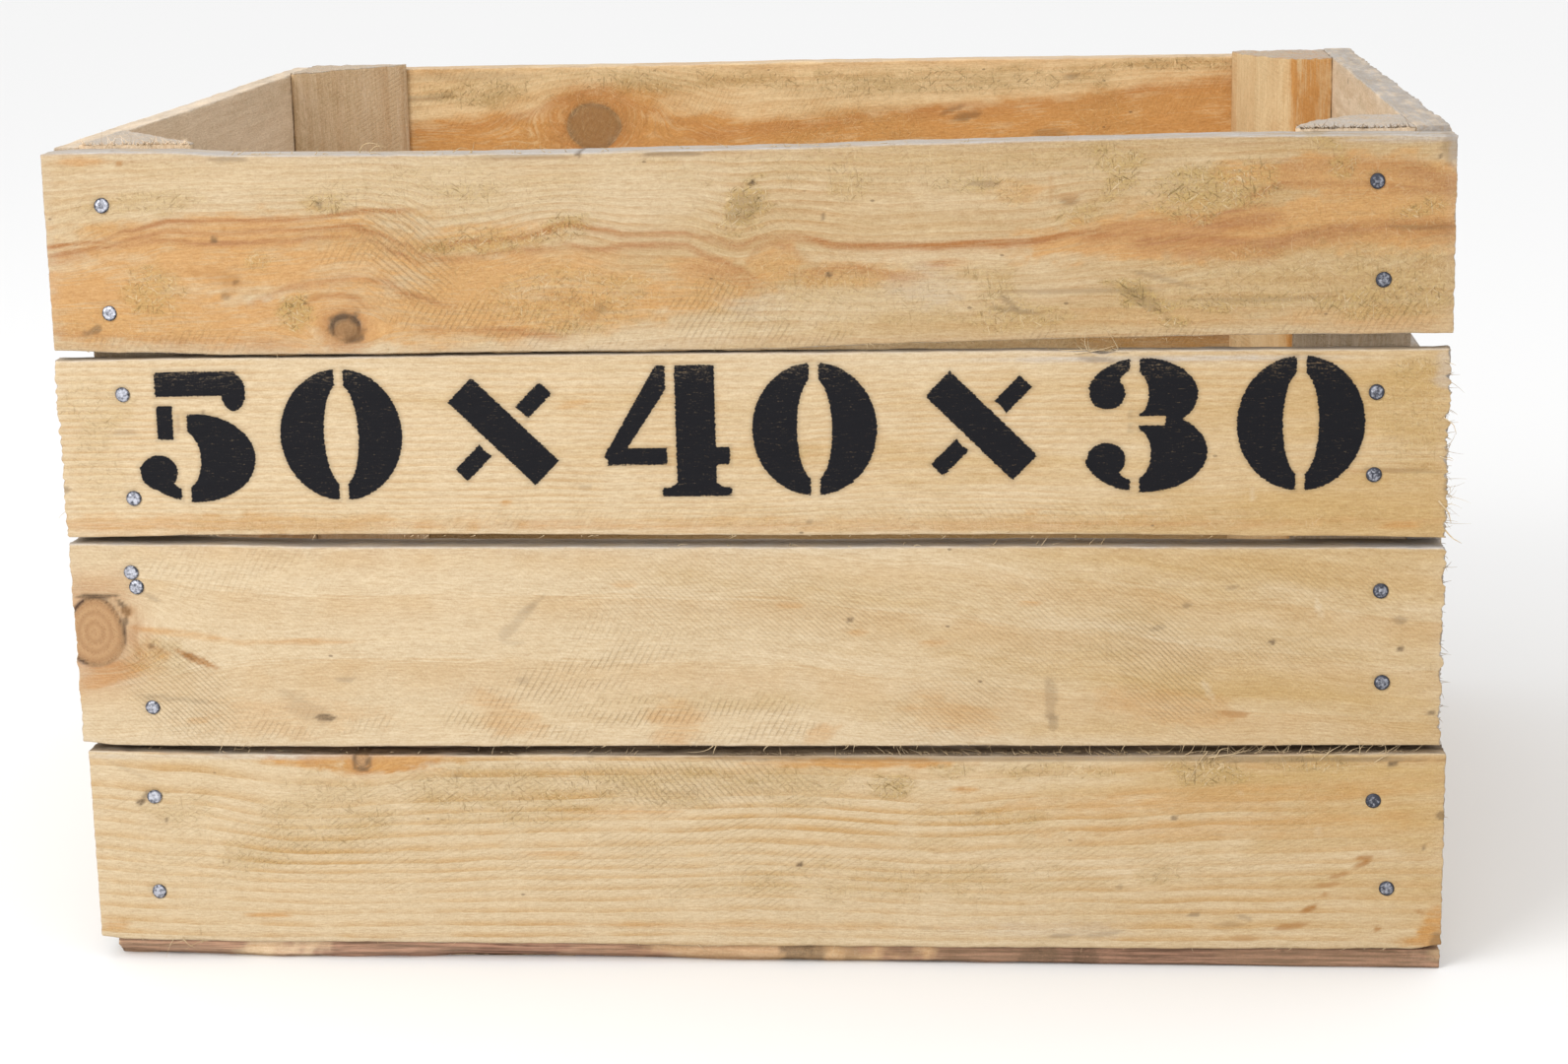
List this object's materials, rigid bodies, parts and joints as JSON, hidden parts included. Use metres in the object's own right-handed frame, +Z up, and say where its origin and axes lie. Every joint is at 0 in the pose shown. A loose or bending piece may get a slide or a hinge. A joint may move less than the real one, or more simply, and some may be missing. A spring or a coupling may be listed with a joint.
{
  "type": "wooden apple crate",
  "caption": "Open-topped harvest crate of rough sawn softwood slats nailed to corner posts, with a slatted bottom and narrow gaps between the slats.",
  "frame": {"origin": "centre of the footprint, on the ground, under the middle of the crate", "axes": "+X along the length, to the right seen from the marked side; -Y is the marked side; +Z up"},
  "size_m": [0.502, 0.4012, 0.3068],
  "materials": {
    "cream_pine": "rough sawn",
    "streaked_pine": "rough sawn",
    "weathered_pine": "rough sawn",
    "orange_pine": "rough sawn",
    "nail_steel": "dull bright wire"
  },
  "bodies": {
    "root": {"front_slat_1": "streaked_pine", "front_slat_2": "cream_pine", "front_slat_3": "cream_pine", "front_slat_4": "cream_pine", "back_slat_1": "orange_pine", "back_slat_2": "cream_pine", "back_slat_3": "streaked_pine", "back_slat_4": "cream_pine", "left_end_slat_1": "weathered_pine", "left_end_slat_2": "cream_pine", "left_end_slat_3": "weathered_pine", "left_end_slat_4": "streaked_pine", "right_end_slat_1": "weathered_pine", "right_end_slat_2": "streaked_pine", "right_end_slat_3": "cream_pine", "right_end_slat_4": "weathered_pine", "bottom_slat_1": "weathered_pine", "bottom_slat_2": "cream_pine", "bottom_slat_3": "streaked_pine", "bottom_slat_4": "cream_pine", "bottom_slat_5": "weathered_pine", "corner_post_front_left": "weathered_pine", "corner_post_front_right": "weathered_pine", "corner_post_back_left": "weathered_pine", "corner_post_back_right": "orange_pine", "nails_front_left": "nail_steel", "nails_front_right": "nail_steel", "nails_back_left": "nail_steel", "nails_back_right": "nail_steel", "nails_left_end_front": "nail_steel", "nails_left_end_back": "nail_steel", "nails_right_end_front": "nail_steel", "nails_right_end_back": "nail_steel", "nails_bottom_left": "nail_steel", "nails_bottom_right": "nail_steel"}
  },
  "joints": []
}
